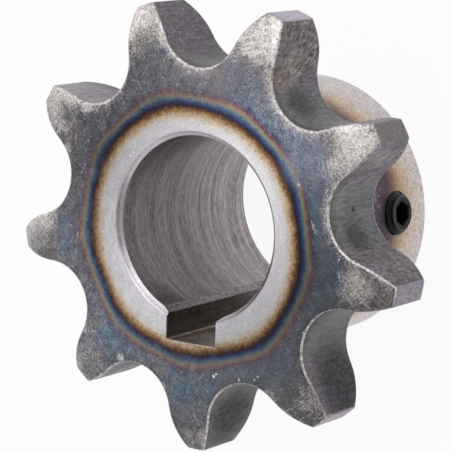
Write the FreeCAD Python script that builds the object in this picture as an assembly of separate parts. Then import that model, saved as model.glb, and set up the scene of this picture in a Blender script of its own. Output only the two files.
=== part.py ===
# Chain sprocket with a hub on one side: nine teeth for a 19.05 mm roller chain,
# a finished bore with a keyway, and one set screw through the hub wall.
# Millimetres. The bore runs along Z, the hub's end face lies at Z = 0 and the
# toothed plate is at the top. The keyway points towards -X.

import FreeCAD, Part
import math
import os

# roller chain and number of teeth
chain_pitch = 19.05
roller_diameter = 12.07
tooth_count = 9

# form of one tooth gap
seat_radius = 6.25          # arc at the bottom, in which a chain roller sits
seat_angle = 123.5          # how much of a circle that arc covers
root_allowance = 0.14       # the arc's bottom lies this far below the roller
flank_radius = 15.0         # convex side of a tooth, from the seat to the tip
tip_height = 3.15           # tooth tips stand this far outside the pitch circle

# toothed plate
plate_thickness = 11.1
relief_depth = 2.0          # taken off each side of the plate at the tips
relief_radius = 12.0        # curve of that relief, turned on both sides

# hub
overall_length = 30.0
hub_diameter = 37.0
hub_chamfer = 0.6
hub_corner_radius = 0.8     # tool radius where the hub meets the plate

# bore and keyway
bore_diameter = 25.0
bore_chamfer = 0.7          # at the toothed end
bore_edge_break = 0.3       # at the hub's end
keyway_width = 8.0
keyway_depth = 3.3          # from the bore's wall to the keyway's floor
keyway_direction = 180.0
edge_break_along_bore = 1.1     # the keyway's two edges are broken by hand,
edge_break_down_wall = 0.35     # more along the bore than down the side wall

# set screw, M6 with a hexagon socket and a cup point
screw_diameter = 6.0
screw_length = 6.0
screw_end_chamfer = 0.65
screw_proud = 0.85          # its outer end stands this far out of the hub
screw_height = 7.9          # of its axis above the hub's end face
screw_from_keyway = 95.2    # angle round the bore, seen from the toothed end
screw_clearance = 0.05      # all round, between the screw and its plain hole
socket_flats = 3.0
socket_depth = 2.4
socket_tip_depth = 0.5      # drill point under the socket
cup_diameter = 3.0
cup_depth = 0.7

# cutting tools run past the metal by this much
overrun = 1.0

# sizes that follow from the ones above
pitch_radius = chain_pitch / 2 / math.sin(math.pi / tooth_count)
root_radius = pitch_radius - roller_diameter / 2 - root_allowance
tip_radius = pitch_radius + tip_height
relief_start_radius = tip_radius - math.sqrt(
    relief_radius ** 2 - (relief_radius - relief_depth) ** 2)
plate_bottom = overall_length - plate_thickness
hub_radius = hub_diameter / 2
bore_radius = bore_diameter / 2
keyway_floor = bore_radius + keyway_depth
screw_radius = screw_diameter / 2
screw_direction = keyway_direction + screw_from_keyway

up = FreeCAD.Vector(0, 0, 1)
origin = FreeCAD.Vector(0, 0, 0)


def flat(x, y):
    """A point in the plane across the bore."""
    return FreeCAD.Vector(x, y, 0)


def section(radius, height):
    """A point in the half section that is turned round the bore."""
    return FreeCAD.Vector(radius, 0, height)


def line(start, end):
    return Part.makeLine(start, end)


def arc(start, middle, end):
    return Part.Arc(start, middle, end).toShape()


def face_from(edges):
    return Part.Face(Part.Wire(edges))


def closed_outline(points):
    return Part.Face(Part.makePolygon(points + [points[0]]))


def relief_point(face_height, side, share):
    """A point on the curved relief: share 0 is where it starts, 1 is the tip.
    side is +1 for the top of the plate and -1 for its underside."""
    full_turn = math.asin((tip_radius - relief_start_radius) / relief_radius)
    turn = share * full_turn
    radius = relief_start_radius + relief_radius * math.sin(turn)
    drop = relief_radius * (1 - math.cos(turn))
    return section(radius, face_height - side * drop)


def turned_blank():
    """Hub and plate as they leave the lathe, with the bore, before the teeth."""
    top = overall_length
    slant = math.sqrt(0.5) * hub_corner_radius
    corner_centre = (hub_radius + hub_corner_radius, plate_bottom - hub_corner_radius)

    bore_mouth_low = section(bore_radius + bore_edge_break, 0)
    hub_end_edge = section(hub_radius - hub_chamfer, 0)
    hub_side_low = section(hub_radius, hub_chamfer)
    hub_side_high = section(hub_radius, plate_bottom - hub_corner_radius)
    corner_middle = section(corner_centre[0] - slant, corner_centre[1] + slant)
    plate_inner = section(hub_radius + hub_corner_radius, plate_bottom)
    under_start = relief_point(plate_bottom, -1, 0)
    under_middle = relief_point(plate_bottom, -1, 0.5)
    under_tip = relief_point(plate_bottom, -1, 1)
    top_tip = relief_point(top, 1, 1)
    top_middle = relief_point(top, 1, 0.5)
    top_start = relief_point(top, 1, 0)
    bore_mouth_high = section(bore_radius + bore_chamfer, top)
    bore_high = section(bore_radius, top - bore_chamfer)
    bore_low = section(bore_radius, bore_edge_break)

    half_section = face_from([
        line(bore_mouth_low, hub_end_edge),
        line(hub_end_edge, hub_side_low),
        line(hub_side_low, hub_side_high),
        arc(hub_side_high, corner_middle, plate_inner),
        line(plate_inner, under_start),
        arc(under_start, under_middle, under_tip),
        line(under_tip, top_tip),
        arc(top_tip, top_middle, top_start),
        line(top_start, bore_mouth_high),
        line(bore_mouth_high, bore_high),
        line(bore_high, bore_low),
        line(bore_low, bore_mouth_low),
    ])
    return half_section.revolve(origin, up, 360)


def tooth_gap():
    """The space between two teeth, on the +X side, as a solid to cut away:
    a roller seat with a convex flank on each side, tangent to it."""
    half_seat = math.radians(seat_angle / 2)
    seat_centre = root_radius + seat_radius
    outside = tip_radius + overrun

    # where the seat ends, and the way from the seat's centre to there
    way_x = -math.cos(half_seat)
    way_y = math.sin(half_seat)
    seat_end_x = seat_centre + seat_radius * way_x
    seat_end_y = seat_radius * way_y

    # the flank's centre lies on the same line, inside the tooth
    flank_x = seat_end_x + flank_radius * way_x
    flank_y = seat_end_y + flank_radius * way_y
    flank_reach = math.hypot(flank_x, flank_y)
    flank_bearing = math.atan2(flank_y, flank_x)

    def flank_point(radius):
        """The flank's point at this distance from the bore's axis."""
        opening = math.acos((flank_reach ** 2 + radius ** 2 - flank_radius ** 2)
                            / (2 * flank_reach * radius))
        bearing = flank_bearing - opening
        return (radius * math.cos(bearing), radius * math.sin(bearing))

    seat_end_radius = math.hypot(seat_end_x, seat_end_y)
    middle_x, middle_y = flank_point((seat_end_radius + outside) / 2)
    end_x, end_y = flank_point(outside)

    outline = face_from([
        arc(flat(seat_end_x, -seat_end_y), flat(root_radius, 0), flat(seat_end_x, seat_end_y)),
        arc(flat(seat_end_x, seat_end_y), flat(middle_x, middle_y), flat(end_x, end_y)),
        line(flat(end_x, end_y), flat(outside, end_y)),
        line(flat(outside, end_y), flat(outside, -end_y)),
        line(flat(outside, -end_y), flat(end_x, -end_y)),
        arc(flat(end_x, -end_y), flat(middle_x, -middle_y), flat(seat_end_x, -seat_end_y)),
    ])
    outline.translate(FreeCAD.Vector(0, 0, plate_bottom - overrun))
    return outline.extrude(up * (plate_thickness + 2 * overrun))


def all_tooth_gaps():
    """One gap straight across from the keyway, and the rest round the plate.
    With an odd number of teeth the keyway then points at a tooth."""
    gap = tooth_gap()
    gaps = []
    for number in range(tooth_count):
        turned = gap.copy()
        turned.rotate(origin, up, keyway_direction + 180 + number * 360 / tooth_count)
        gaps.append(turned)
    return Part.makeCompound(gaps)


def keyway():
    """The slot for the key, with its two edges at the bore broken."""
    half_width = keyway_width / 2
    corner = math.sqrt(bore_radius ** 2 - half_width ** 2)
    corner_bearing = math.asin(half_width / bore_radius)
    break_bearing = corner_bearing + edge_break_along_bore / bore_radius
    break_x = bore_radius * math.cos(break_bearing)
    break_y = bore_radius * math.sin(break_bearing)
    outline = closed_outline([
        flat(0, -break_y),
        flat(break_x, -break_y),
        flat(corner + edge_break_down_wall, -half_width),
        flat(keyway_floor, -half_width),
        flat(keyway_floor, half_width),
        flat(corner + edge_break_down_wall, half_width),
        flat(break_x, break_y),
        flat(0, break_y),
    ])
    outline.translate(FreeCAD.Vector(0, 0, -overrun))
    slot = outline.extrude(up * (overall_length + 2 * overrun))
    slot.rotate(origin, up, keyway_direction)
    return slot


def on_screw_axis(shape):
    """Move a shape from the Z axis to the screw's place in the hub: its
    bottom end goes towards the bore, and Z = 0 to the hub's surface."""
    shape.rotate(origin, FreeCAD.Vector(0, 1, 0), 90)
    shape.translate(FreeCAD.Vector(hub_radius, 0, screw_height))
    shape.rotate(origin, up, screw_direction)
    return shape


def screw_hole():
    """Hole through the hub wall, plain where the real one has a fine thread."""
    depth = hub_radius - bore_radius + bore_radius / 2
    hole = Part.makeCylinder(screw_radius + screw_clearance, depth + overrun,
                             FreeCAD.Vector(0, 0, -depth))
    return on_screw_axis(hole)


def hexagon(across_flats):
    corner_radius = across_flats / math.sqrt(3)
    corners = []
    for number in range(6):
        bearing = math.radians(60 * number)
        corners.append(flat(corner_radius * math.cos(bearing), corner_radius * math.sin(bearing)))
    return closed_outline(corners)


def make_sprocket():
    """Plate, teeth and hub are one piece of steel."""
    body = turned_blank()
    body = body.cut(all_tooth_gaps())
    body = body.cut(keyway())
    body = body.cut(screw_hole())
    return body.Solids[0]


def make_set_screw():
    """Headless screw: hexagon socket at the outer end, cup at the inner end."""
    outer = screw_proud
    inner = screw_proud - screw_length
    end_radius = screw_radius - screw_end_chamfer
    cup_radius = cup_diameter / 2

    half_section = closed_outline([
        section(0, inner + cup_depth),
        section(cup_radius, inner),
        section(end_radius, inner),
        section(screw_radius, inner + screw_end_chamfer),
        section(screw_radius, outer - screw_end_chamfer),
        section(end_radius, outer),
        section(0, outer),
    ])
    screw = half_section.revolve(origin, up, 360)

    socket = hexagon(socket_flats)
    socket.translate(FreeCAD.Vector(0, 0, outer - socket_depth))
    socket = socket.extrude(up * (socket_depth + overrun))
    drill_point = Part.makeCone(0, socket_flats / 2, socket_tip_depth,
                                FreeCAD.Vector(0, 0, outer - socket_depth - socket_tip_depth))
    screw = screw.cut(socket.fuse(drill_point))
    return on_screw_axis(screw.Solids[0])


os.makedirs("parts", exist_ok=True)
make_sprocket().exportStep("parts/sprocket.step")
make_set_screw().exportStep("parts/set_screw.step")
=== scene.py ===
from math import asin, atan2, cos, hypot, pi, radians, sin, sqrt

import bmesh
import bpy
from mathutils import Matrix, Quaternion, Vector


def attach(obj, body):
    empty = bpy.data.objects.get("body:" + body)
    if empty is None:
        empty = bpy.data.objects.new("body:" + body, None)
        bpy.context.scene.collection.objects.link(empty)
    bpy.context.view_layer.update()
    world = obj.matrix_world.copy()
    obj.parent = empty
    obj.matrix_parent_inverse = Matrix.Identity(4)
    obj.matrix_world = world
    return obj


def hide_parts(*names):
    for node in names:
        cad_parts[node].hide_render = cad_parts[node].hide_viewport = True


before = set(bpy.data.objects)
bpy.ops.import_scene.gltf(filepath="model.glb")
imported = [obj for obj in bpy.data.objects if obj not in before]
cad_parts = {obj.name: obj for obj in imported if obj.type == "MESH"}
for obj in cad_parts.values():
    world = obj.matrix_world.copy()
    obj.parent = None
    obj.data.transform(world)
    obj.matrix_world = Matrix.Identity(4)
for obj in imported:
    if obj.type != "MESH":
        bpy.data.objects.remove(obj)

# A chain sprocket with nine teeth, a hub on its far side, a keyed bore and a set screw.
# Sizes are in millimetres and turn into metres when a mesh is made. The bore runs
# along Z, the hub's end face lies at Z = 0 and the keyway points towards -X.

millimetre = 0.001
up = Vector((0, 0, 1))
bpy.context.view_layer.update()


def inScene(name, data):
    item = bpy.data.objects.new(name, data)
    bpy.context.scene.collection.objects.link(item)
    return item


# camera

photoView = dict(
    place=(57.734, -187.350, 291.709),
    aim=(-1.16, 1.69, 20),
    roll=-102.3,     # degrees about the line of sight
    lens=194.33, sensor=36,
    nearest=10,
)


def setCamera():
    camera = inScene("photoCamera", bpy.data.cameras.new("photoCamera"))
    place = Vector(photoView["place"]) * millimetre
    sight = Vector(photoView["aim"]) * millimetre - place
    camera.location = place
    camera.rotation_mode = "QUATERNION"
    level = sight.to_track_quat("-Z", "Y")
    camera.rotation_quaternion = level @ Quaternion(up, radians(photoView["roll"]))
    camera.data.lens = photoView["lens"]
    camera.data.sensor_width = photoView["sensor"]
    camera.data.clip_start = photoView["nearest"] * millimetre
    bpy.context.scene.camera = camera


# Node sheets. A value is a plain number or colour, or a NodeValue: what another node puts out.
# NodeValues that are numbers can be added, multiplied and so on.

sheet = None     # the sheet that is being filled


class NodeValue:
    def __init__(self, output):
        self.output = output

    def __add__(self, other):
        return calc("ADD", self, other)

    def __radd__(self, other):
        return calc("ADD", other, self)

    def __sub__(self, other):
        return calc("SUBTRACT", self, other)

    def __rsub__(self, other):
        return calc("SUBTRACT", other, self)

    def __mul__(self, other):
        return calc("MULTIPLY", self, other)

    def __truediv__(self, other):
        return calc("DIVIDE", self, other)

    def __abs__(self):
        return calc("ABSOLUTE", self)


def openSheet(tree):
    global sheet
    sheet = tree


def newNode(kind, **settings):
    node = sheet.nodes.new("ShaderNode" + kind)
    for name, setting in settings.items():
        setattr(node, name, setting)
    return node


def wire(value, socket):
    if isinstance(value, NodeValue):
        sheet.links.new(value.output, socket)
    else:
        socket.default_value = value


def fed(node, values, output=0):
    # the node's output, once its inputs have these values in turn
    for socket, value in zip(node.inputs, values):
        wire(value, socket)
    return NodeValue(node.outputs[output])


def calc(operation, *values):
    return fed(newNode("Math", operation=operation), values)


def smaller(first, second):
    return calc("MINIMUM", first, second)


def larger(first, second):
    return calc("MAXIMUM", first, second)


def timesPlus(value, factor, extra):
    return calc("MULTIPLY_ADD", value, factor, extra)


def fade(value, low, high, start=0, end=1):
    # start below low, end above high, and a soft step between them
    return fed(newNode("MapRange", interpolation_type="SMOOTHSTEP"), (value, low, high, start, end))


def tone(red, green, blue):
    # a colour as it is read off a screen, 0 to 255
    def linear(part):
        part = part / 255
        return part / 12.92 if part <= 0.04045 else ((part + 0.055) / 1.055) ** 2.4
    return (linear(red), linear(green), linear(blue), 1)


def colourBands(value, stops):
    # stops are (value, colour) pairs in rising order
    low, high = stops[0][0], stops[-1][0]
    node = newNode("ValToRGB")
    marks = node.color_ramp.elements
    while len(marks) < len(stops):
        marks.new(0.5)
    for mark, (position, colour) in zip(marks, stops):
        mark.position = (position - low) / (high - low)
        mark.color = tone(*colour)
    share = fed(newNode("MapRange"), (value, low, high, 0, 1))
    return fed(node, (share,))


def blend(share, first, second, how="MIX"):
    node = newNode("Mix", data_type="RGBA", blend_type=how)
    wire(share, node.inputs["Factor"])
    for value, socket in zip((first, second), node.inputs[6:8]):
        wire(value, socket)
    return NodeValue(node.outputs[2])


def grain(place, width, detail=3, roughness=0.55, distortion=0):
    node = newNode("TexNoise")
    for name, value in (("Vector", place), ("Scale", 1 / width), ("Detail", detail),
                        ("Roughness", roughness), ("Distortion", distortion)):
        wire(value, node.inputs[name])
    return NodeValue(node.outputs["Fac"])


def specks(place, spacing, radius, share):
    # round spots, scattered: 1 in the middle of a spot, 0 outside
    node = newNode("TexVoronoi")
    wire(place, node.inputs["Vector"])
    wire(1 / spacing, node.inputs["Scale"])
    distance, colour = NodeValue(node.outputs["Distance"]), NodeValue(node.outputs["Color"])
    picked = fade(apart(colour)[0], share - 0.01, share, 1, 0)
    return fade(distance, 0.3 * radius / spacing, radius / spacing, 1, 0) * picked


def apart(vector):
    node = newNode("SeparateXYZ")
    wire(vector, node.inputs[0])
    return [NodeValue(output) for output in node.outputs]


def together(x, y, z):
    return fed(newNode("CombineXYZ"), (x, y, z))


def stretch(vector, x, y, z):
    return fed(newNode("VectorMath", operation="MULTIPLY"), (vector, (x, y, z)))


def meshValue(name):
    return NodeValue(newNode("Attribute", attribute_name=name).outputs["Fac"])


def newFinish(name):
    # a metal finish, and the place in millimetres for grains
    finish = bpy.data.materials.new(name)
    finish.use_nodes = True
    openSheet(finish.node_tree)
    place = NodeValue(newNode("TexCoord").outputs["Object"])
    return finish, stretch(place, 1 / millimetre, 1 / millimetre, 1 / millimetre)


def dressed(finish, colour, roughness, height, depth=1, metallic=1):
    # the finish with its last touches; the height of 1 stands for this depth in millimetres
    shader = sheet.nodes["Principled BSDF"]
    relief = newNode("Bump")
    for node, name, value in ((relief, "Strength", 1), (relief, "Distance", depth * millimetre),
                              (relief, "Height", height), (shader, "Base Color", colour),
                              (shader, "Metallic", metallic), (shader, "Roughness", roughness),
                              (shader, "Normal", NodeValue(relief.outputs[0]))):
        wire(value, node.inputs[name])
    return finish


def roundTheBore(place):
    # x, y and z, the distance from the bore's axis and the bearing round it
    x, y, z = apart(place)
    return x, y, z, calc("SQRT", x * x + y * y), calc("ARCTAN2", y, x)


def ripple(turn, waves, crest, amount):
    # waves round the bore, with the bearing in degrees of their first crest
    return calc("COSINE", timesPlus(turn, waves, -waves * radians(crest))) * amount


def facing(turn, bearing, low, high, start=0, end=1):
    # a fade from start to end towards this bearing; low and high are cosines of the angle from it
    return fade(ripple(turn, 1, bearing, 1), low, high, start, end)


# Finishes of the steel. Their numbers, set beside the photo, are places and widths in millimetres,
# bearings in degrees and shares from 0 to 1.

heatColours = [   # by distance in mm from the purple ring that the welding heat left
    (-4, (200, 197, 202)), (-2.8, (198, 195, 199)), (-2.2, (195, 191, 192)), (-1.7, (190, 181, 172)),
    (-1.3, (176, 157, 134)), (-0.9, (148, 121, 90)), (-0.5, (104, 76, 54)), (-0.15, (64, 47, 46)),
    (0.1, (46, 42, 56)), (0.4, (52, 58, 82)), (0.7, (68, 80, 102)), (1, (98, 104, 106)),
    (1.3, (120, 110, 100)), (1.6, (112, 90, 86)), (1.9, (96, 82, 92)), (2.3, (94, 91, 101)),
    (3, (100, 97, 104)), (4.5, (104, 101, 106)),
]

brightHeatColours = [   # the same on the screw's side, where a second, paler ring follows the first
    (-0.15, (60, 44, 48)), (0.1, (46, 40, 66)), (0.4, (50, 62, 98)), (0.75, (70, 89, 118)),
    (1.05, (104, 122, 121)), (1.3, (136, 130, 106)), (1.6, (128, 98, 88)), (1.95, (92, 62, 88)),
    (2.35, (68, 74, 106)), (2.9, (88, 108, 122)), (3.5, (106, 116, 118)), (4.3, (110, 106, 120)),
    (5.2, (104, 106, 114)),
]


heatRing = dict(
    radius=17.18, undersideRadius=20.6,
    # it is a little off centre and uneven: waves round the bore, bearing of the first crest, size
    swings=((1, 161, 0.62), (2, 71, 0.22), (3, 13.5, 0.15), (4, -42, 0.15), (5, 15, 0.085)),
    # and it bulges towards each tooth, more so further out
    bulgeRadius=17.2, bulgeGrowth=0.085, bulge=0.13, bulgeLeast=0.02, bulgeMost=0.36, toothBearing=20,
)


def heatDistance(radius, turn):
    ring = heatRing
    bulge = timesPlus(radius - ring["bulgeRadius"], ring["bulgeGrowth"], ring["bulge"])
    bulge = smaller(larger(bulge, ring["bulgeLeast"]), ring["bulgeMost"])
    swings = [ripple(turn, *swing) for swing in ring["swings"]]
    return (radius - ring["radius"]
            - total(ripple(turn, size["teeth"], ring["toothBearing"], 1) * bulge, *swings))


def total(first, *others):
    for value in others:
        first = first + value
    return first


def uneven(place, width, detail=3, roughness=0.6):
    # a grain that swings by about 1, either side of 0
    return timesPlus(grain(place, width, detail, roughness), 4, -2)


def speckle(place, width, detail=3, roughness=0.7, spread=0.1):
    # a grain with strong contrast, from 0 to 1
    return fade(grain(place, width, detail, roughness), 0.5 - spread, 0.5 + spread)


def spun(vector, angle):
    node = newNode("VectorRotate", rotation_type="Z_AXIS")
    wire(vector, node.inputs["Vector"])
    wire(radians(angle), node.inputs["Angle"])
    return NodeValue(node.outputs[0])


def strokes(place, bearing, length, width):
    # short brush strokes that lie at this bearing
    laid = stretch(spun(place, -bearing), width / length, 1, 1)
    return grain(laid, width, 2, 0.6)


def patch(place, centre, radius, core=0.3):
    # 1 round a place and 0 from the radius on
    distance = fed(newNode("VectorMath", operation="DISTANCE"), (place, centre), "Value")
    return fade(distance, radius * core, radius, 1, 0)


def patches(place, spots):
    # spots are (centre, radius, amount)
    return total(*[patch(place, centre, radius) * amount for centre, radius, amount in spots])


def scratch(place, start, end, width):
    # a straight line that fades at its ends and sides
    start, end = Vector(start), Vector(end)
    way = end - start
    bearing = atan2(way.y, way.x)
    middle = Matrix.Rotation(-bearing, 3, "Z") @ ((start + end) / 2)
    x, y, z = apart(spun(place, -bearing * 180 / pi))
    half = way.length / 2
    return (fade(abs(y - middle.y), width * 0.4, width, 1, 0)
            * fade(abs(x - middle.x), half * 0.8, half, 1, 0))


def tinted(colour, share, *tint):
    return blend(share, colour, tone(*tint))


def lighter(colour, strength):
    return blend(1, colour, strength, "MULTIPLY")


toothWear = dict(
    # bare steel on the teeth's relief, from 0 to 1, as swings round the bore
    level=0.46,
    swings=((1, -1, 0.31), (2, -34, 0.135), (3, -32, 0.09)),
    # and where it differs from that: centre, radius, amount
    spots=(((11.5, -20.5, 30), 5, 0.28), ((25.5, 9, 30), 3.2, -0.22),
        ((14, 24, 30), 3, -0.1), ((-4.5, -25.2, 30), 3.8, 0.22), ((15.2, -25.2, 29), 5, 0.16),
        ((13.6, -20.8, 30), 3, -0.26), ((25.8, -5.6, 30), 2.6, -0.24),
        ((27.5, 10.8, 29), 3.5, 0.12), ((13.2, 22.8, 30), 4, 0.12), ((26.5, -8.5, 30), 4, 0.12),
        ((-1.5, 28.5, 29), 3.2, 0.22), ((3.6, 26.6, 29), 2.6, 0.25), ((-7.6, 26.6, 29), 4.2, -0.16),
        ((-27, 2.5, 30), 3.5, -0.12), ((-29, -2.5, 29), 2.2, 0.22),
        ((-20.8, 20.2, 29), 2.6, 0.06), ((-17, 19.5, 30), 2.8, -0.14),
        ((-1.8, 25, 30), 2.5, 0.31), ((14.4, 18.6, 30), 1.4, 0.3), ((15.8, 21.6, 30), 2.2, 0.14),
        ((13.4, 22.6, 30), 2.4, -0.16), ((8.6, 21.8, 30), 1.1, 0.3), ((-19.5, 11.8, 30), 1, 0.55),
        ((-16.5, 18, 30), 1.2, 0.32), ((-22.8, 17.4, 29), 2.6, -0.12), ((-22.4, 4.6, 30), 1, 0.4),
        ((-21.2, 6.4, 30), 1, 0.3), ((22.4, -2.4, 30), 3.6, -0.32), ((-19.8, -18.9, 30), 2.8, 0.13),
        ((-21.6, -19.6, 29), 2.4, 0.12), ((-21.6, -12.9, 30), 2.2, 0.24),
        ((-23.6, -14.2, 29.5), 2.2, 0.22)),
    # and where it is less spotted
    calmer=(((-5, -28, 29), 6.5, -0.4), ((-5, 28, 29), 7, -0.35),
            ((15, 26, 29), 7, -0.25)),
)

faceMarks = dict(
    # where a second, paler ring shows: centre, radius, amount
    second=(((-21.8, 1.8, 30), 4.6, 0.75), ((-17.2, 14, 30), 4.2, 0.7),
        ((-19.5, -8, 30), 3.5, 0.3)),
    # blue and pale spots in the scale
    blue=(((-3.5, -22.3, 30), 2.6, 0.55), ((24, 7.5, 30), 3.2, 0.35),
        ((-17.4, 13.6, 30), 4.4, 0.45), ((-24, 2.5, 30), 3, 0.3), ((-1.9, 21.8, 30), 2.2, 0.4),
        ((-4.9, 22.6, 30), 2.6, 0.6)),
    pale=(((11.2, -18, 30), 5.5, 0.85), ((16.4, -15.6, 30), 4, 0.45),
        ((-17.6, 12.4, 30), 1.6, 0.2)),
    # bands beyond the ring, as a second and third ring would have them
    bands=(((-22.5, 3.4, 30), (-21.6, -4, 30), 1.1, 0.55, (80, 108, 120)),
        ((-23.7, 2.4, 30), (-23.1, -2.6, 30), 0.8, 0.5, (62, 68, 98)),
        ((-15.6, 14.8, 30), (-18, 12.6, 30), 0.8, 0.55, (92, 118, 132))),
    # bright flecks, and scratches that are lighter than what is round them
    flecks=(((-19.7, -4), 0.25), ((-19.1, -10.7), 0.2), ((-19.3, -4.4), 0.19),
        ((-18.6, -11.3), 0.14), ((9.1, 10.5), 0.24), ((8.6, 11.1), 0.2), ((7.9, -16.6), 0.22),
        ((-19.5, -8.1), 0.2), ((-11.5, -18.2), 0.15), ((-9, -20.2), 0.14)),
    scratches=(((3.6, -18.6, 30), (1.6, -19.5, 30), 0.07), ((3.2, -18.9, 30), (1.9, -19.9, 30), 0.06),
        ((1.2, -24.4, 30), (-1.6, -22.9, 30), 0.08), ((-15.4, 17.2, 30), (-17, 16.5, 30), 0.06),
        ((16.8, 13.5, 30), (18.2, 11.9, 30), 0.06)),
    # rust on the ring
    rust=(((-12, -15.8, 30), 1.3, 0.8), ((-13.4, -14.6, 30), 0.9, 0.5),
          ((-10.6, -17.2, 30), 0.8, 0.5)),
    # a calm part of the scale, one tooth that is brushed the other way, and some dirt
    quiet=((21.5, -3, 30), 6, 0.4), across=((26.4, -6.4, 29), 7, 0.5),
    dirt=((16.2, -26, 28.4), 2.2, 0.2),
)


def markedFaceFinish():
    finish, place = newFinish("markedFaceSteel")
    x, y, z, radius, turn = roundTheBore(place)
    around = together(x / radius, y / radius, radius * 0.5)
    fine = uneven(place, 0.55, 4, 0.72)
    grit = uneven(place, 0.3, 2, 0.6)
    medium = uneven(place, 1.4, 3)
    coarse = uneven(place, 5, 2)
    turned = uneven(stretch(around, 6, 6, 6), 1, 4, 0.7)

    heat = heatDistance(radius, turn)
    dotted = fade(heat, -2.4, 0.5, 0.55, 0.17)
    heat = heat + fine * dotted + grit * dotted * 0.8 + medium * 0.16 + coarse * 0.12
    colour = colourBands(heat, heatColours)
    scale = fade(heat, -1.5, 0.5)
    screwSide = facing(turn, 302, 0.62, 0.95)
    second = larger(screwSide, patches(place, faceMarks["second"]) * fade(heat, 1.2, 2.4))
    bright = second * fade(heat, -0.2, 0.2) * fade(heat, 3.8, 5.2, 0.85, 0)
    colour = blend(bright, colour, colourBands(heat, brightHeatColours))

    # patches of blue, purple and brown in the scale, the brightest on the screw's side
    outside = fade(heat, 1.8, 2.8)
    cool = facing(turn, 205, -0.2, 0.5) * outside * 0.5
    colour = tinted(colour, cool, 92, 100, 113)
    blue = fade(grain(place, 4.2, 4, 0.6), 0.49, 0.62) * outside * fade(radius, 22, 26, 0.22, 0.05)
    colour = tinted(colour, blue, 76, 92, 114)
    stains = patches(place, faceMarks["blue"])
    colour = tinted(colour, smaller(stains * fade(coarse, -1.2, 0.6, 0.5, 1), 1), 76, 96, 122)
    for start, end, width, amount, stain in faceMarks["bands"]:
        band = scratch(place, start, end, width) * fade(medium, -1.2, 0.4, 0.4, 1) * amount
        colour = tinted(colour, band, *stain)
    pale = patches(place, faceMarks["pale"]) * fade(medium, -1, 0.6, 0.5, 1)
    colour = tinted(colour, smaller(pale, 1), 132, 138, 154)
    brown = fade(grain(spun(place, 50), 3.4, 4, 0.6), 0.53, 0.66) * outside * 0.35
    colour = tinted(colour, brown, 122, 112, 106)
    sheen = colourBands(grain(stretch(around, 9, 9, 2.5), 1.3, 3, 0.65),
                        [(0.3, (68, 90, 118)), (0.45, (84, 110, 122)), (0.55, (104, 100, 124)),
                         (0.7, (124, 108, 106))])
    colour = blend(screwSide * outside * fade(radius, 21.5, 25, 0.4, 0.1), colour, sheen)
    tint = facing(turn, 140, -0.2, 0.7)
    tint = blend(tint, tone(108, 102, 96), tone(100, 99, 104))
    colour = blend(fade(radius, 23.5, 26.5, 0, 0.7), colour, tint)
    leftSide = facing(turn, 130, -0.2, 0.5)
    mossy = (fade(grain(spun(place, 110), 1.7, 3, 0.65), 0.46, 0.6) * leftSide
             * fade(radius, 21.5, 24, 0.12, 0.55))
    colour = tinted(colour, mossy, 96, 107, 110)
    ruddy = (fade(grain(spun(place, 20), 1.5, 3, 0.65), 0.5, 0.62) * leftSide
             * fade(radius, 22.5, 25, 0.1, 0.45))
    colour = tinted(colour, ruddy, 124, 112, 110)
    rust = smaller(patches(place, faceMarks["rust"]), 1)
    colour = tinted(colour, rust * fade(fine, -0.3, 0.4) * 0.7, 142, 106, 96)

    # painted highlight: the turned face is brighter on two opposite sides, where its fine rings would
    # catch the light, the scale more so than the bare ring
    paintedFanHighlight = 1.05 + ripple(turn, 2, -28, 0.31) + ripple(turn, 1, 40, 0.12) + ripple(turn, 3, 100, 0.13)
    calm = 1 + ripple(turn, 2, -37, 0.2) + ripple(turn, 1, -30, 0.12)
    paintedFanHighlight = blend(scale, calm, paintedFanHighlight)
    spots, dust, clouds = speckle(place, 0.55), speckle(place, 0.27, 2), speckle(place, 1.5)
    strength = spots * 0.3 + dust * 0.54 + clouds * 0.26 + coarse * 0.13 - 0.56
    smoother = facing(turn, 65, -0.9, -0.1, 0.6, 1)
    quiet = 1 - patch(place, *faceMarks["quiet"]) * 0.4
    strength = 1 + strength * smoother * quiet * fade(heat, 0.3, 2.6, 0.25, 1)
    mottle = 0.9 + fine * 0.06 + dust * 0.12 + spots * 0.08 + turned * 0.12 + medium * 0.05
    colour = lighter(colour, paintedFanHighlight)
    colour = lighter(colour, blend(scale, mottle, strength))
    bent = uneven(place, 6, 1)
    bent = together(timesPlus(bent, 1.2, x), timesPlus(bent, -0.8, y), z)
    flecks = fade(larger(strokes(bent, 38, 1.1, 0.26), strokes(bent, -40, 0.9, 0.26)), 0.58, 0.72)
    flecks = (flecks * fade(clouds, 0.1, 0.9, 0.35, 1) * smoother * smoother
              * fade(heat, 0.8, 2.8, 0, 0.68))
    colour = tinted(colour, flecks, 176, 173, 174)
    pits = specks(place, 1.5, 0.13, 0.16)
    colour = tinted(colour, pits * 0.5, 70, 62, 58)
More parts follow.
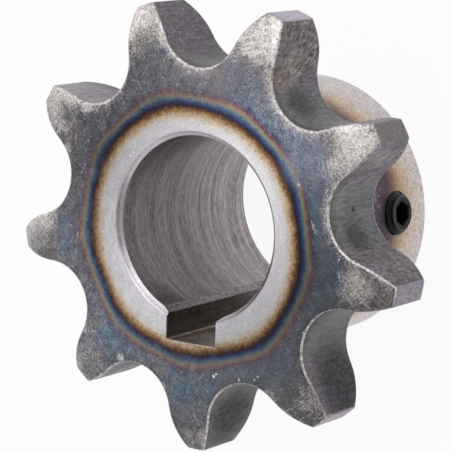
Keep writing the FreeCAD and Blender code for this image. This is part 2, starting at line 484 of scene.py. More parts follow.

    # bare steel shows through the scale on the relief and along the gaps; along the gaps it is also a
    # painted highlight, brightest on the edges that face the lamps
    fromGap = meshValue("fromGap")
    edgeHighlight = meshValue("edgeHighlight")
    wear = total(toothWear["level"], *[ripple(turn, *swing) for swing in toothWear["swings"]])
    wear = wear * fade(radius, 22.6, 28.6)
    upper = facing(turn, 355, -0.4, 0.55, 0.2, 1)
    # painted highlight: the rim and line along the gaps are brighter where the edges face the lamps
    rim = fade(fromGap, 0.2, 2, 0.41, 0) * edgeHighlight * upper
    line = fade(fromGap, 0.22, 0.36, 0.9, 0) * edgeHighlight * upper * fade(fine, -0.6, 0.4, 0.15, 1)
    spotted = patches(place, toothWear["spots"]) * fade(radius, 20.5, 23.5)
    wear = larger(wear, rim) + line + spotted + medium * fade(radius, 21, 25, 0.03, 0.12)
    wear = wear * fade(heat, 1.7, 3.2)
    across = patch(place, *faceMarks["across"])
    brushed = larger(strokes(bent, 32, 3.2, 0.24) - across * 0.06,
                     strokes(bent, -66, 2.6, 0.24) + across * 0.055 - 0.045)
    brushed = fade(brushed, 0.44, 0.62)
    crumbs = speckle(spun(place, 70), 0.4, 4, 0.75, 0.13)
    calmer = 1 + patches(place, toothWear["calmer"])
    hairy = facing(turn, 340, -0.3, 0.6, 0.95, 1.25) * fade(clouds, 0, 1, 0.55, 1.3)
    streaky = 1.15 + across * 0.9
    share = (crumbs * (0.6 - across * 0.2) + dust * 0.75 + (brushed - 0.45) * hairy * streaky
             + across * 0.1 - 0.675)
    share = fade(wear, 0, 0.8, -0.03, 0.88) + share * calmer * fade(wear, 0, 0.3, 0, 0.3)
    share = share + (clouds - 0.65) * fade(wear, 0.5, 0.9, 0, 0.3)
    share = smaller(larger(share, 0), 1)
    worn = lighter(tone(220, 213, 211), 0.76 + spots * 0.2 + dust * 0.28)
    colour = blend(share, colour, worn)
    dirt = patch(place, *faceMarks["dirt"]) * fade(fine, -0.25, 0.2)
    colour = tinted(colour, dirt * 0.8, 78, 76, 60)
    holes = specks(place, 0.8, 0.14, 0.24)
    colour = tinted(colour, holes * fade(wear, 0.45, 0.8, 0, 0.35), 84, 80, 68)

    ragged = together(timesPlus(fine, 0.22, x), timesPlus(uneven(place, 0.8, 2), 0.3, y), 30)
    marks = [patch(ragged, (*spot, 30), width, 0.4) for spot, width in faceMarks["flecks"]]
    marks = total(*marks, *[scratch(ragged, *entry) * 0.6 for entry in faceMarks["scratches"]])
    colour = tinted(colour, smaller(marks * fade(fine, -0.8, 0.2, 0.3, 1), 1), 228, 224, 220)

    rounded = 1.5 - smaller(fromGap, 1.5)
    grainy = fade(heat, -1, 2, 0.15, 1)
    height = rounded * rounded * -0.08 + fine * grainy * 0.016 + grit * grainy * 0.008 + coarse * 0.03
    return dressed(finish, colour, fade(fine, -1, 1, 0.36, 0.48), height)


paintedGapShade = (   # painted shade and light on the walls between the teeth, where they are darker or lighter: centre, radius, amount
    ((17.6, -13, 25), 4, -0.5), ((0.9, -22.6, 25), 3.6, -0.55), ((-19, -19.6, 23), 7.5, -0.62),
    ((-26, -3.2, 25), 7, -0.66), ((7.6, -21.9, 27), 3.6, 0.32), ((16.1, 22, 26), 8, 1),
    ((21.8, 1.3, 26), 3, 0.35), ((21.6, -11.7, 26), 3.6, 0.22), ((12.5, -25.8, 27), 4.5, 0.3),
    ((-20.6, 11.6, 25), 6, -0.35), ((26, -10.5, 28.5), 3.4, -0.22), ((22, -8.6, 29), 2.2, -0.3),
)


gapPlaces = dict(   # centre, radius, core
    brown=((21.8, -11.8, 27), 3.4), grey=((25.5, -11.5, 24), 8), pit=((4.5, -21.3, 24), 0.42, 0.5),
    smooth=((-25, -13, 24), 18, 0.75), smoother=((27, 5.5, 25), 9, 0.6),
)


def toothGapFinish():
    finish, place = newFinish("toothGapSteel")
    x, y, z, radius, turn = roundTheBore(place)
    fine = uneven(place, 0.5, 4, 0.72)
    medium = uneven(place, 2.2, 4, 0.65)
    cut = uneven(stretch(place, 1, 1, 0.14), 0.32, 3, 0.7)       # lines along the cutter's way
    slant = together(timesPlus(z, 0.55, x), timesPlus(z, -0.55, y), z * 0.3)
    smeared = uneven(slant, 0.55, 3, 0.7)
    seat = fade(radius, 21.8, 24, 1, 0)

    colour = blend(seat, tone(108, 103, 108), tone(108, 107, 106))
    green = fade(grain(place, 2.6, 3, 0.6), 0.46, 0.62)
    colour = tinted(colour, green * seat * 0.35, 104, 114, 110)
    purple = fade(grain(spun(place, 40), 3, 3, 0.6), 0.46, 0.62)
    colour = tinted(colour, purple * 0.3, 108, 101, 120)
    colour = tinted(colour, patch(place, *gapPlaces["brown"]) * 0.6, 122, 106, 98)
    colour = tinted(colour, patch(place, *gapPlaces["grey"]) * 0.6, 122, 115, 112)
    # painted highlight: the walls are lighter near their top edge
    rim = fade(z, 25.6, 28.6) * fade(fine, -0.6, 0.6) * 0.22
    # the walls on the far sides are smoother
    gritty = (1 - patch(place, *gapPlaces["smooth"]) * 0.5
              - patch(place, *gapPlaces["smoother"]) * 0.45)
    gritty = gritty * facing(turn, 318, -0.2, 0.7, 0.62, 1)
    rough = (0.76 - gritty * 0.2 + speckle(stretch(place, 1, 1, 0.5), 0.45) * gritty * 0.26
             + speckle(place, 0.28, 2) * gritty * 0.2 + fade(cut, -0.4, 0.4) * 0.34 + medium * 0.2)
    streaks = smeared * gritty * fade(radius, 22.5, 25, 0.08, 0.95)
    # painted shade and light in patches on the walls, and a painted highlight near their top
    colour = lighter(colour, rough * (1 + patches(place, paintedGapShade) + rim + streaks))
    # painted shadow: the seat is darker just under the face's edge
    colour = lighter(colour, 1 + fade(z, 28, 29.7, 0, -0.3) * seat)
    scuffs = fade(smeared, 0.55, 1.1)
    colour = tinted(colour, scuffs * gritty * fade(radius, 22, 26, 0.1, 0.5), 186, 180, 186)
    pits = specks(place, 1.3, 0.12, 0.22) + patch(place, *gapPlaces["pit"])
    colour = tinted(colour, smaller(pits * 0.85, 1), 34, 31, 30)
    height = fine * 0.012 + cut * 0.014 + medium * 0.03
    return dressed(finish, colour, fade(medium, -1, 1, 0.36, 0.5), height)


paintedTipShade = (   # painted shade and light, the same for the tips
    ((15.5, -26.8, 24), 7, -0.42), ((-5.4, -30.5, 24), 7, -0.16), ((29.1, -10.6, 24), 7, 0.5),
)


def tipLandFinish():
    finish, place = newFinish("tipLandSteel")
    fine = uneven(place, 0.5, 4, 0.72)
    cut = uneven(stretch(place, 1, 1, 0.12), 0.4, 3, 0.7)
    strength = 0.68 + speckle(place, 0.45) * 0.32 + speckle(place, 0.28, 2) * 0.32 + cut * 0.16
    # painted shade and light in patches on the tips
    colour = lighter(tone(150, 143, 154), strength + patches(place, paintedTipShade))
    brown = patch(place, (15.5, -26.8, 24), 8, 0.7)
    colour = tinted(colour, brown * 0.6, 118, 108, 104)
    worn = fade(grain(place, 0.5, 4, 0.75), 0.56, 0.7) * 0.5
    colour = tinted(colour, worn, 196, 190, 194)
    return dressed(finish, colour, fade(fine, -1, 1, 0.34, 0.46), fine * 0.01 + cut * 0.01)


def toothEdgeFinish():
    # edges of the teeth, rubbed bright, with a painted highlight on those that face the lamps
    finish, place = newFinish("toothEdgeSteel")
    fine = uneven(place, 0.45, 4, 0.75)
    edgeHighlight = fade(meshValue("edgeHighlight"), 0.1, 0.7, 0.4, 0.95)
    softer = 1 - patch(place, (-20.5, -19.6, 29), 5) * 0.5
    # partly bare steel and partly a painted highlight
    bareAndHighlight = fade(fine, -0.7, 0.5, 0.25, 1) * edgeHighlight * softer
    colour = blend(bareAndHighlight, tone(104, 100, 106), tone(230, 222, 222))
    return dressed(finish, lighter(colour, 1 + fine * 0.22), 0.4, fine, depth=0.02)


def undersideFinish():
    # the plate's far side: scale with a heat ring round the hub
    finish, place = newFinish("undersideSteel")
    x, y, z, radius, turn = roundTheBore(place)
    fine = uneven(place, 0.55, 4, 0.72)
    medium = uneven(place, 1.6, 3)
    coarse = uneven(place, 4.5, 3)
    heat = radius - heatRing["undersideRadius"] + fine * 0.12 + medium * 0.15 + coarse * 0.3
    colour = colourBands(heat, heatColours[6:])
    blue = fade(grain(place, 4.2, 4, 0.6), 0.49, 0.62) * 0.45
    colour = tinted(colour, blue, 60, 82, 108)
    colour = lighter(colour, 1 + fine * 0.4 + medium * 0.16 + coarse * 0.1)
    fromGap = meshValue("fromGap")
    wear = fade(radius, 23.8, 29.5, 0, 0.5) + fade(fromGap, 0.1, 2, 0.35, 0)
    limit = fade(wear, 0, 1, 0.68, 0.38)
    share = fade(grain(place, 0.45, 4, 0.75), limit - 0.08, limit + 0.08)
    colour = tinted(colour, share * 0.7, 200, 194, 188)
    return dressed(finish, colour, fade(fine, -1, 1, 0.38, 0.5), fine * 0.015 + coarse * 0.03)


hubHeat = [   # by height in mm above the hub's end face
    (0, (206, 198, 202)), (3.5, (205, 195, 192)), (6, (199, 184, 172)), (8, (185, 163, 141)),
    (9.2, (160, 132, 108)), (10.4, (118, 92, 82)), (11.6, (84, 66, 72)), (13.5, (74, 60, 70)),
    (16, (84, 76, 92)), (19, (92, 92, 102)),
]


def hubSideFinish():
    finish, place = newFinish("hubSteel")
    x, y, z, radius, turn = roundTheBore(place)
    fine = uneven(place, 0.5, 4, 0.7)
    medium = uneven(place, 2.4, 3)
    turned = uneven(stretch(place, 0.1, 0.1, 1), 0.26, 4, 0.75)
    hotter = ripple(turn, 2, 279, 2.6) + ripple(turn, 3, 282, 0.5) + medium * 0.7 + fine * 0.35 - 0.8
    colour = colourBands(z + hotter, hubHeat)
    colour = lighter(colour, 0.74 + turned * 0.24 + speckle(place, 0.32) * 0.4 + medium * 0.12)
    colour = tinted(colour, specks(place, 2.2, 0.12, 0.25) * 0.5, 84, 74, 70)
    curls = fade(grain(place, 0.6, 3, 0.7, 1.2), 0.56, 0.66) * patch(place, (4.2, -17.9, 12.6), 2.6)
    colour = tinted(colour, curls * 0.55, 196, 180, 186)
    return dressed(finish, colour, fade(turned, -1, 1, 0.3, 0.42), turned * 0.008 + fine * 0.004)


def hubEndFinish():
    # faced off on the lathe
    finish, place = newFinish("hubEndSteel")
    x, y, z, radius, turn = roundTheBore(place)
    fine = uneven(place, 0.5, 4, 0.7)
    medium = uneven(place, 2.4, 3)
    rings = uneven(together(radius, turn * 0.4, 0), 0.24, 3, 0.7)
    colour = lighter(tone(196, 191, 194), 1 + rings * 0.12 + fine * 0.08 + medium * 0.05)
    colour = tinted(colour, specks(place, 1.8, 0.14, 0.25) * 0.5, 92, 84, 80)
    return dressed(finish, colour, fade(rings, -1, 1, 0.3, 0.42), rings * 0.008 + fine * 0.004)


def boreFinish():
    # bored out, with the tool's fine grooves round it
    finish, place = newFinish("boreSteel")
    x, y, z, radius, turn = roundTheBore(place)
    climb = together(x * 0.035, y * 0.035, timesPlus(turn, -0.25, z))
    grooves = uneven(climb, 0.3, 4, 0.78)
    broad = uneven(stretch(climb, 1.6, 1.6, 1), 1.5, 3, 0.65)
    fine = uneven(stretch(place, 0.4, 0.4, 1), 0.32, 4, 0.72)
    medium = uneven(place, 3, 3)
    middle = fade(z, 5, 14) * fade(z, 17, 26, 1, 0)
    # painted shade: the bore is darker in its middle and towards the marked face, lighter towards the
    # hub's end
    depth = fade(z, 1, 28, 1.12, 0.86) - middle * 0.2
    strength = (0.43 + fade(grooves, -0.5, 0.5) * 0.44 + fade(broad, -0.4, 0.4) * 0.32
                + fade(fine, -0.5, 0.5) * 0.38 + medium * 0.1 - 0.04)
    colour = blend(fade(medium, -0.5, 0.7, 0, 0.7), tone(147, 141, 144), tone(145, 136, 139))
    colour = lighter(colour, depth * strength)
    stained = patch(place, (-10.6, 6.6, 26.5), 3.2) * fade(medium, -0.8, 0.6, 0.3, 0.7)
    colour = tinted(colour, stained, 92, 88, 76)
    ruddy = fade(grain(stretch(climb, 2.2, 2.2, 1), 2.4, 3, 0.6), 0.48, 0.6, 0, 0.5)
    colour = blend(ruddy, colour, lighter(colour, tone(255, 244, 248)))
    # one long score climbs round the wall
    drawn = abs(z + turn * 1.87 + broad * 0.08 - 28.97)
    drawn = fade(drawn, 0.05, 0.16, 0.6, 0) * fade(turn, 1.9, 2.2) * fade(turn, 2.6, 2.8, 1, 0)
    scores = fade(grooves, 0.45, 0.9) * fade(fine, -0.4, 0.5) * 0.4
    scores = larger(scores, drawn * fade(fine, -0.6, 0.4, 0.2, 1))
    colour = tinted(colour, scores, 205, 200, 204)
    colour = tinted(colour, specks(place, 1.9, 0.15, 0.2) * 0.7, 58, 52, 50)
    return dressed(finish, colour, fade(grooves, -1, 1, 0.3, 0.42), grooves * 0.012 + fine * 0.006)


def boreChamferFinish():
    finish, place = newFinish("boreChamferSteel")
    x, y, z, radius, turn = roundTheBore(place)
    fine = uneven(place, 0.5, 4, 0.7)
    rings = uneven(together(radius, turn, 0), 0.2, 2, 0.6)
    line = fade(abs(radius - (size["bore"] / 2 + 0.43)), 0.03, 0.12, -0.3, 0)
    # painted highlights: the chamfer is lighter towards two bearings and darker towards a third
    bright = (facing(turn, 65, 0.1, 0.9, 0, 0.32)
              + facing(turn, 5, 0.6, 1, 0, 0.35)
              + facing(turn, 88, 0.88, 0.99, 0, -0.5))
    colour = lighter(tone(202, 196, 202),
                     0.9 + bright + line + rings * 0.14 + speckle(place, 0.35) * 0.16)
    roughness = facing(turn, 318, 0.35, 0.8, 0.36, 0.7)
    return dressed(finish, colour, roughness, rings * 0.004 + fine * 0.003)


def keywayFinish():
    # broached: faint lines along the bore
    finish, place = newFinish("keywaySteel")
    x, y, z = apart(place)
    lines = uneven(stretch(place, 1, 1, 0.06), 0.35, 3, 0.7)
    fine = uneven(place, 0.5, 4, 0.72)
    scuffs = uneven(stretch(together(x, timesPlus(z, 0.8, y), z), 1, 1, 0.2), 0.4, 3, 0.7)
    floorAt = -size["bore"] / 2 - size["keyDepth"]
    floor = fade(x, floorAt + 0.05, floorAt + 0.2, 1, 0)
    broken = fade(x, -12.2, -12.05)     # the broken edges at its mouth
    colour = blend(floor, tone(102, 97, 95), tone(190, 182, 177))
    blotches = fade(grain(place, 2.2, 4, 0.65), 0.4, 0.62)
    colour = lighter(colour, blend(blotches * 0.8, tone(255, 255, 255), tone(228, 220, 210)))
    colour = tinted(colour, broken, 122, 115, 117)
    corner = fade(abs(x - (floorAt + 0.08)), 0.05, 0.2, 0.5, 0)
    strength = (1 + corner + lines * 0.5 + fine * 0.4
                + (scuffs + speckle(place, 0.35) - 0.5) * broken * 0.5)
    roughness = fade(lines, -1, 1, 0.3, 0.44)
    return dressed(finish, lighter(colour, strength), roughness, lines * 0.01 + fine * 0.005)


def screwHoleFinish():
    finish, place = newFinish("screwHoleSteel")
    fine = uneven(place, 0.4, 4, 0.7)
    return dressed(finish, lighter(tone(58, 52, 52), 1 + fine * 0.3), 0.45, fine, depth=0.01)


steelFinishes = {}   # finished materials, by the names that the cross section uses


def makeSteelFinishes():
    makers = dict(
        markedFace=markedFaceFinish, toothEdge=toothEdgeFinish, toothGap=toothGapFinish,
        tipLand=tipLandFinish, underside=undersideFinish, hubSide=hubSideFinish, hubEnd=hubEndFinish,
        bore=boreFinish, boreChamfer=boreChamferFinish, keyway=keywayFinish, screwHole=screwHoleFinish,
    )
    for name, make in makers.items():
        steelFinishes[name] = make()
    print("steel finishes made,", len(steelFinishes))


# the sprocket itself

size = dict(     # of the sprocket
    teeth=9, pitch=19.05, roller=12.07,
    seatRadius=6.25, seatAngle=123.5, rootAllowance=0.14, flankRadius=15, tipHeight=3.15,
    plate=11.1, reliefDepth=2, reliefRadius=12,
    length=30, hub=37, hubChamfer=0.6, hubCorner=0.8,
    bore=25, boreChamfer=0.7, boreBreak=0.3,
    keyWidth=8, keyDepth=3.3, keyBreakAlong=1.1, keyBreakDown=0.35, keyMouth=0.1,
    toothEdge=0.22,      # radius worn onto the edges of the teeth
    tipCorner=0.25,      # radius where a flank meets the tip
    screwHole=3.05, screwHoleMouth=0.25, screwHoleDepth=12, screwHoleBeyond=1.5,
    tipLand=0.1,         # the tips' finish starts this far below them
    cutterOverrun=1,   # how far the keyway's cutter stands out of the metal
    sharpFrom=32,        # degrees between two faces that make a sharp edge
    highlightTowards=310,   # painted highlight: the gaps' rims that face this way are the brightest
    highlightMiddle=0.5, highlightSwing=0.6, highlightLeast=0.25,
)

meshSteps = dict(     # how finely each part of the outline and cross section is divided
    seat=12, flank=13, tipCorner=4, tip=3,
    face=22, edge=3, wall=6, underside=12, hubCorner=6, hubSide=8, hubEnd=4, bore=12, screwHole=64,
)

pitchRadius = size["pitch"] / 2 / sin(pi / size["teeth"])
rootRadius = pitchRadius - size["roller"] / 2 - size["rootAllowance"]
tipRadius = pitchRadius + size["tipHeight"]
reliefRise = size["reliefRadius"] - size["reliefDepth"]
reliefStart = tipRadius - sqrt(size["reliefRadius"] ** 2 - reliefRise ** 2)
plateMiddle = size["length"] - size["plate"] / 2
toothTurn = 2 * pi / size["teeth"]
halfSeat = radians(size["seatAngle"] / 2)
seatCentre = Vector((rootRadius + size["seatRadius"], 0, 0))
seatEnd = seatCentre + Vector((-cos(halfSeat), sin(halfSeat), 0)) * size["seatRadius"]
flankCentre = seatEnd + Vector((-cos(halfSeat), sin(halfSeat), 0)) * size["flankRadius"]


def shares(part, whole=False):
    # even shares of this part of a line from 0 up, with its end at 1 or without
    count = meshSteps[part]
    return [step / count for step in range(count + whole)]


def onCircle(centre, radius, bearing):
    return centre + Vector((cos(bearing), sin(bearing), 0)) * radius


def crossing(centreA, radiusA, centreB, radiusB):
    # where two circles cross, on the left of the way from A to B
    way = centreB - centreA
    along = (radiusA ** 2 - radiusB ** 2 + way.length_squared) / (2 * way.length)
    beside = sqrt(radiusA ** 2 - along ** 2)
    way.normalize()
    return centreA + way * along + Vector((-way.y, way.x, 0)) * beside


def halfToothOutline():
    # from the bottom of a gap, which lies on +X, to the middle of the next tooth's tip:
    # pairs of a point and the way from it into the metal
    points = []
    middle = Vector()
    for share in shares("seat"):
        bearing = pi - halfSeat * share
        points.append((onCircle(seatCentre, size["seatRadius"], bearing), onCircle(middle, 1, bearing)))
    corner = size["tipCorner"]
    cornerCentre = crossing(flankCentre, size["flankRadius"] - corner, middle, tipRadius - corner)
    first = seatEnd - flankCentre
    last = cornerCentre - flankCentre
    bearings = (atan2(first.y, first.x), atan2(last.y, last.x),
                atan2(cornerCentre.y, cornerCentre.x), toothTurn / 2)
    stretches = ((flankCentre, size["flankRadius"], "flank"), (cornerCentre, corner, "tipCorner"),
                 (middle, tipRadius, "tip"))
    for (centre, radius, name), begin, end in zip(stretches, bearings, bearings[1:]):
        for share in shares(name, name == "tip"):
            bearing = begin + (end - begin) * share
            points.append((onCircle(centre, radius, bearing), onCircle(middle, -1, bearing)))
    return points


def plateOutline():
    # once round all the teeth
    half = halfToothOutline()
    mirrored = []
    for point, inward in reversed(half[1:-1]):
        flip = Matrix.Rotation(toothTurn, 3, "Z") @ Matrix.Scale(-1, 3, Vector((0, 1, 0)))
        mirrored.append((flip @ point, flip @ inward))
    outline = []
    for number in range(size["teeth"]):
        turn = Matrix.Rotation(number * toothTurn, 3, "Z")
        outline += [(turn @ point, turn @ inward) for point, inward in half + mirrored]
    return outline


def reliefDrop(radius):
    past = max(0, min(radius, tipRadius) - reliefStart)
    return size["reliefRadius"] - sqrt(size["reliefRadius"] ** 2 - past ** 2)


def towardsGap(x, y):
    # which way the nearest gap lies from a place in the plate
    number = round(atan2(y, x) / toothTurn)
    way = onCircle(Vector(), seatCentre.x, number * toothTurn) - Vector((x, y, 0))
    return way.normalized()


def distanceToGap(x, y):
    # from a place in the plate to the nearest gap's edge
    bearing = abs((atan2(y, x) + toothTurn / 2) % toothTurn - toothTurn / 2)
    point = onCircle(Vector(), hypot(x, y), bearing)
    way = point - seatCentre
    if atan2(way.y, -way.x) > halfSeat:
        return size["flankRadius"] - (point - flankCentre).length
    return way.length - size["seatRadius"]


def crossSection(point, inward):
    # the closed line round one slice of the sprocket, with the finish of each stretch
    out = point.normalized()
    past = max(0, min(point.length, tipRadius) - reliefStart)
    slope = asin(past / size["reliefRadius"])
    faceNormal = out * sin(slope) + up * cos(slope)
    wallNormal = -inward
    sharp = point + up * (size["length"] - reliefDrop(point.length))
    edge = size["toothEdge"]
    centre = sharp - (faceNormal + wallNormal) * edge / (1 + faceNormal.dot(wallNormal))
    rim = [centre + faceNormal.slerp(wallNormal, share) * edge for share in shares("edge", True)]
    wall = "tipLand" if point.length > tipRadius - size["tipLand"] else "toothGap"

    boreRadius, hubRadius, corner = size["bore"] / 2, size["hub"] / 2, size["hubCorner"]
    plateBottom = size["length"] - size["plate"]
    mouth = out * (boreRadius + size["boreChamfer"])
    rimStart, rimEnd = [Vector((place.x, place.y, 0)) for place in (rim[0], rim[-1])]
    line = []
    for share in shares("face"):
        plan = mouth.lerp(rimStart, share)
        line.append((plan + up * (size["length"] - reliefDrop(plan.length)), "markedFace"))
    line += [(place, "toothEdge") for place in rim[:-1]]
    top, bottom = rim[-1].z, 2 * plateMiddle - rim[-1].z
    line += [(rimEnd + up * (top + (bottom - top) * share), wall) for share in shares("wall")]
    for place in reversed(rim[1:]):
        line.append((Vector((place.x, place.y, 2 * plateMiddle - place.z)), "toothEdge"))
    for share in shares("underside"):
        plan = rimStart.lerp(out * (hubRadius + corner), share)
        line.append((plan + up * (plateBottom + reliefDrop(plan.length)), "underside"))
    for share in shares("hubCorner"):
        bearing = pi / 2 * (1 + share)
        line.append((out * (hubRadius + corner * (1 + cos(bearing)))
                     + up * (plateBottom - corner * (1 - sin(bearing))), "hubSide"))
    top, bottom = plateBottom - corner, size["hubChamfer"]
    for share in shares("hubSide", True):
        line.append((out * hubRadius + up * (top + (bottom - top) * share), "hubSide"))
    start, end = hubRadius - size["hubChamfer"], boreRadius + size["boreBreak"]
    line += [(out * (start + (end - start) * share), "hubEnd") for share in shares("hubEnd")]
    line.append((out * end, "boreChamfer"))
    bottom, top = size["boreBreak"], size["length"] - size["boreChamfer"]
    for share in shares("bore"):
        line.append((out * boreRadius + up * (bottom + (top - bottom) * share), "bore"))
    line.append((out * boreRadius + up * top, "boreChamfer"))
    return line


def rework(mesh, change):
    bm = bmesh.new()
    bm.from_mesh(mesh)
    change(bm)
    bm.to_mesh(mesh)
    bm.free()


def fillMesh(name, loops, faces, finishes, picks):
    # loops are lines of (point, finish), all of one length
    mesh = bpy.data.meshes.new(name)
    mesh.from_pydata([point * millimetre for loop in loops for point, pick in loop], [], faces)
    for finish in finishes.values():
        mesh.materials.append(finish)
    order = list(finishes)
    for face, pick in zip(mesh.polygons, picks):
        face.material_index = order.index(pick)
    rework(mesh, lambda bm: bmesh.ops.recalc_face_normals(bm, faces=bm.faces))
    return inScene(name, mesh)


def between(loops, number, following, steps):
    # the four-sided faces between two loops of the same length
    count = len(loops[0])
    return [(number * count + step, number * count + (step + 1) % count,
             following * count + (step + 1) % count, following * count + step) for step in range(steps)]


def joinLoops(name, loops, finishes, closed=True):
    # the loops stand side by side round the axis
    steps = len(loops[0]) - (not closed)
    faces, picks = [], []
    for number, loop in enumerate(loops):
        faces += between(loops, number, (number + 1) % len(loops), steps)
        picks += [pick for place, pick in loop[:steps]]
    return fillMesh(name, loops, faces, finishes, picks)


def keywayCutter():
    # the keyway's outline, as a prism that opens a little at both ends
    radius, half = size["bore"] / 2, size["keyWidth"] / 2
    corner = sqrt(radius ** 2 - half ** 2)
    bearing = asin(half / radius) + size["keyBreakAlong"] / radius
    floor = radius + size["keyDepth"]
    across, breakEnd = radius * sin(bearing), corner + size["keyBreakDown"]
    overrun, opening = size["cutterOverrun"], size["keyMouth"]
    loops = []
    for height, wider in ((-overrun, overrun + opening), (opening, 0), (size["length"] - opening, 0),
                          (size["length"] + overrun, overrun + opening)):
        side = [(0, across + wider), (radius * cos(bearing), across + wider),
                (breakEnd, half + wider), (floor + wider, half + wider)]
        ring = side + [(x, -y) for x, y in reversed(side)]
        loops.append([(Vector((-x, -y, height)), "keyway") for x, y in ring])
    return capped(loops)


def capped(loops):
    # a closed solid from rings that are stacked on each other
    count = len(loops[0])
    last = (len(loops) - 1) * count
    faces = [tuple(range(count)), tuple(range(last, last + count))]
    for number in range(len(loops) - 1):
        faces += between(loops, number, number + 1, count)
    return fillMesh("cutter", loops, faces, steelFinishes, [loops[0][0][1]] * len(faces))


setScrewSize = dict(
    bearing=275.2, height=7.9, proud=0.85, length=6,
    radius=3, pitch=1, endChamfer=0.65,
    threadDepth=0.55, threadSteepness=1.25, threadRoot=0.125,
    socket=3, socketDepth=2.4, socketTip=0.5, socketMouth=0.15, socketFloor=0.45,
    cup=3, cupDepth=0.7,
    centre=0.02,        # radius of the small rings that close both ends
    endFace=0.12,       # the flat end's last ring lies this far inside its edge
    columns=72, rows=84,
    together=0.04,      # points that are closer than this become one
    # width of the lighter ring on the end face's edge, a scuff and a painted highlight
    rimScuffAndHighlightWidth=0.05,
    sharpFrom=40,       # degrees, as for the sprocket
)


def onScrewAxis(point):
    # from along +Z, with Z = 0 at the hub's surface, to the screw's place in the hub
    x, y, z = point
    moved = Vector((size["hub"] / 2 + z, y, setScrewSize["height"] - x))
    return Matrix.Rotation(radians(setScrewSize["bearing"]), 3, "Z") @ moved


def screwHoleCutter():
    # plain, and wider from its mouth outwards
    radius, mouth, beyond = size["screwHole"], size["screwHoleMouth"], size["screwHoleBeyond"]
    loops = []
    heights = (-size["screwHoleDepth"], -mouth, beyond)
    for height, width in zip(heights, (radius, radius, radius + beyond + mouth)):
        ring = [onCircle(up * height, width, 2 * pi * share) for share in shares("screwHole")]
        loops.append([(onScrewAxis(place), "screwHole") for place in ring])
    return capped(loops)


def cutAway(piece, cutter):
    cut = piece.modifiers.new("cut", "BOOLEAN")
    cut.operation = "DIFFERENCE"
    cut.solver = "EXACT"
    cut.object = cutter
    settle(piece)
    bpy.data.objects.remove(cutter)


def settle(piece):
    # what the modifiers make becomes the piece's own mesh
    bpy.context.view_layer.update()
    asSeen = piece.evaluated_get(bpy.context.evaluated_depsgraph_get())
    done = bpy.data.meshes.new_from_object(asSeen)
    piece.modifiers.clear()
    piece.data = done


def smoothOver(piece, sharpFrom):
    # smooth shading, with sharp edges kept and flat faces left flat
    def markSharp(bm):
        for face in bm.faces:
            face.smooth = True
        for edge in bm.edges:
            edge.smooth = len(edge.link_faces) == 2 and edge.calc_face_angle(0) < radians(sharpFrom)
    rework(piece.data, markSharp)
    weighted = piece.modifiers.new("flatFaces", "WEIGHTED_NORMAL")
    weighted.keep_sharp = True
    settle(piece)


def markPoints(piece, name, rule):
    # gives each point of the mesh a value, worked out from its x, y and z in millimetres
    marks = piece.data.attributes.new(name, "FLOAT", "POINT")
    for vertex, entry in zip(piece.data.vertices, marks.data):
        entry.value = rule(*[part / millimetre for part in vertex.co])


def edgeHighlightAt(x, y):
    # how far the nearest gap's edge faces the lit side, which sets a painted highlight on it
    swing = towardsGap(x, y).dot(onCircle(Vector(), 1, radians(size["highlightTowards"])))
    return min(1, max(size["highlightLeast"], size["highlightMiddle"] + size["highlightSwing"] * swing))


def makeSprocket():
    loops = [crossSection(point, inward) for point, inward in plateOutline()]
    piece = joinLoops("sprocketSteel", loops, steelFinishes)
    cutAway(piece, keywayCutter())
    cutAway(piece, screwHoleCutter())
    smoothOver(piece, size["sharpFrom"])
    markPoints(piece, "fromGap", lambda x, y, z: distanceToGap(x, y))
    # a painted highlight on the gaps' edges that face the lamps
    markPoints(piece, "edgeHighlight", lambda x, y, z: edgeHighlightAt(x, y))
    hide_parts("sprocket")
    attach(piece, "root")
    print("sprocket made,", len(piece.data.polygons), "faces")


def blackFinish():
    finish, place = newFinish("setScrewBlack")
    fine = uneven(place, 0.35, 4, 0.7)
    colour = lighter(tone(15, 15, 17), 1 + fine * 0.4)
    # a lighter ring round the end face's edge, partly a scuff and partly a painted highlight
    rimScuffAndHighlight = meshValue("rimScuffAndHighlight") * fade(fine, -0.9, 0.4, 0.3, 1)
    colour = tinted(colour, rimScuffAndHighlight, 118, 116, 118)
    wire(0.16, sheet.nodes["Principled BSDF"].inputs["Specular IOR Level"])
    return dressed(finish, colour, 0.4, fine, depth=0.006, metallic=0)


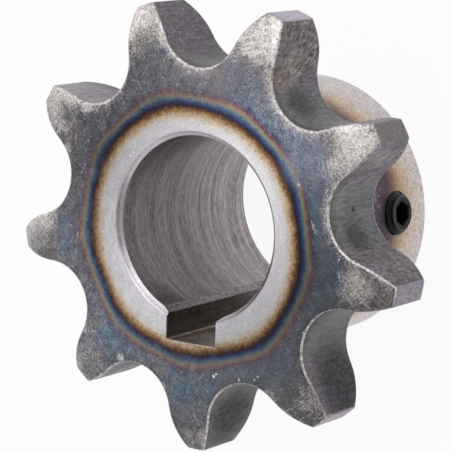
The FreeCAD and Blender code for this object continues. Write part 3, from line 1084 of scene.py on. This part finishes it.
def makeSetScrew():
    screw = setScrewSize
    outer, inner = screw["proud"], screw["proud"] - screw["length"]
    bottom = outer - screw["socketDepth"]
    endRadius = screw["radius"] - screw["endChamfer"]
    columns, rows = screw["columns"], screw["rows"]
    loops = []
    for column in range(columns):
        bearing = 2 * pi * column / columns
        out = Vector((cos(bearing), sin(bearing), 0))
        toHexagon = screw["socket"] / 2 / cos((bearing + pi / 6) % (pi / 3) - pi / 6)
        line = [(screw["centre"], bottom - screw["socketTip"]),
                (screw["socket"] * screw["socketFloor"], bottom), (toHexagon, bottom),
                (toHexagon, (bottom + outer) / 2), (toHexagon, outer - screw["socketMouth"]),
                (toHexagon + screw["socketMouth"], outer), (endRadius - screw["endFace"], outer)]
        for row in range(rows + 1):
            height = outer + (inner - outer) * row / rows
            fromCrest = abs((height / screw["pitch"] - column / columns) % 1 - 0.5) * 2
            cut = min(1, max(0, fromCrest * screw["threadSteepness"] - screw["threadRoot"]))
            fromEnd = min(outer - height, height - inner)
            radius = min(screw["radius"] - screw["threadDepth"] * cut, endRadius + fromEnd)
            line.append((radius, height))
        line += [(screw["cup"] / 2, inner), (screw["centre"], inner + screw["cupDepth"])]
        loops.append([(onScrewAxis(out * radius + up * height), "black") for radius, height in line])
    piece = joinLoops("setScrewBlackened", loops, {"black": blackFinish()}, closed=False)
    near = screw["together"] * millimetre
    rework(piece.data, lambda bm: bmesh.ops.remove_doubles(bm, verts=bm.verts, dist=near))
    smoothOver(piece, screw["sharpFrom"])
    bearings = [2 * pi * column / columns for column in range(columns)]
    rim = [onScrewAxis(onCircle(up * outer, endRadius, bearing)) for bearing in bearings]

    # the end face's edge, where a scuff and a painted highlight lie
    def onRim(*place):
        return min((Vector(place) - spot).length for spot in rim) < screw["rimScuffAndHighlightWidth"]
    markPoints(piece, "rimScuffAndHighlight", onRim)
    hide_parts("set_screw")
    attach(piece, "root")
    print("set screw made,", len(piece.data.polygons), "faces")


# floor and lamps

studio = dict(
    worldLevel=0.6,
    floorWhite=0.9, floorReach=6000,
    floorGlow=0.92,      # share of the floor that shows plain white to the camera
    lamps=[
        # name, where it stands, what it points at, width, power
        ("keySoftbox", (480, -70, 560), (0, 0, 20), 640, 1.9),
        ("sideSoftbox", (250, 640, 230), (0, 0, 20), 400, 0.6),
        ("backSoftbox", (-150, 470, 640), (0, 0, 20), 520, 0.55),
    ],
)


def makeStudio():
    world = bpy.data.worlds.new("studioWorld")
    bpy.context.scene.world = world
    world.use_nodes = True
    room = world.node_tree.nodes["Background"]
    room.inputs["Color"].default_value = (1, 1, 1, 1)
    room.inputs["Strength"].default_value = studio["worldLevel"]

    finish = bpy.data.materials.new("floorWhite")
    finish.use_nodes = True
    openSheet(finish.node_tree)
    sheet.nodes.clear()
    paper = fed(newNode("BsdfDiffuse"), ((studio["floorWhite"],) * 3 + (1,),))
    glow = NodeValue(newNode("Emission").outputs[0])
    # plain white for what the camera sees, straight or mirrored in metal
    seen = newNode("LightPath").outputs
    straight = larger(NodeValue(seen["Is Camera Ray"]), NodeValue(seen["Is Glossy Ray"]))
    white = larger(straight, NodeValue(seen["Is Transmission Ray"])) * studio["floorGlow"]
    mixed = fed(newNode("MixShader"), (white, paper, glow))
    wire(mixed, newNode("OutputMaterial").inputs["Surface"])

    mesh = bpy.data.meshes.new("floor")
    reach = studio["floorReach"] * millimetre
    corners = [(-reach, -reach, 0), (reach, -reach, 0), (reach, reach, 0), (-reach, reach, 0)]
    mesh.from_pydata(corners, [], [(0, 1, 2, 3)])
    mesh.materials.append(finish)
    floor = inScene("floor", mesh)

    for name, place, aim, width, power in studio["lamps"]:
        lamp = bpy.data.lights.new(name, "AREA")
        lamp.size = width * millimetre
        lamp.energy = power
        holder = inScene(name, lamp)
        holder.location = Vector(place) * millimetre
        holder.rotation_mode = "QUATERNION"
        holder.rotation_quaternion = (Vector(aim) - Vector(place)).to_track_quat("-Z", "Y")
    bpy.context.scene.view_settings.view_transform = "Standard"
    print("studio made")


setCamera()
makeStudio()
makeSteelFinishes()
makeSprocket()
makeSetScrew()
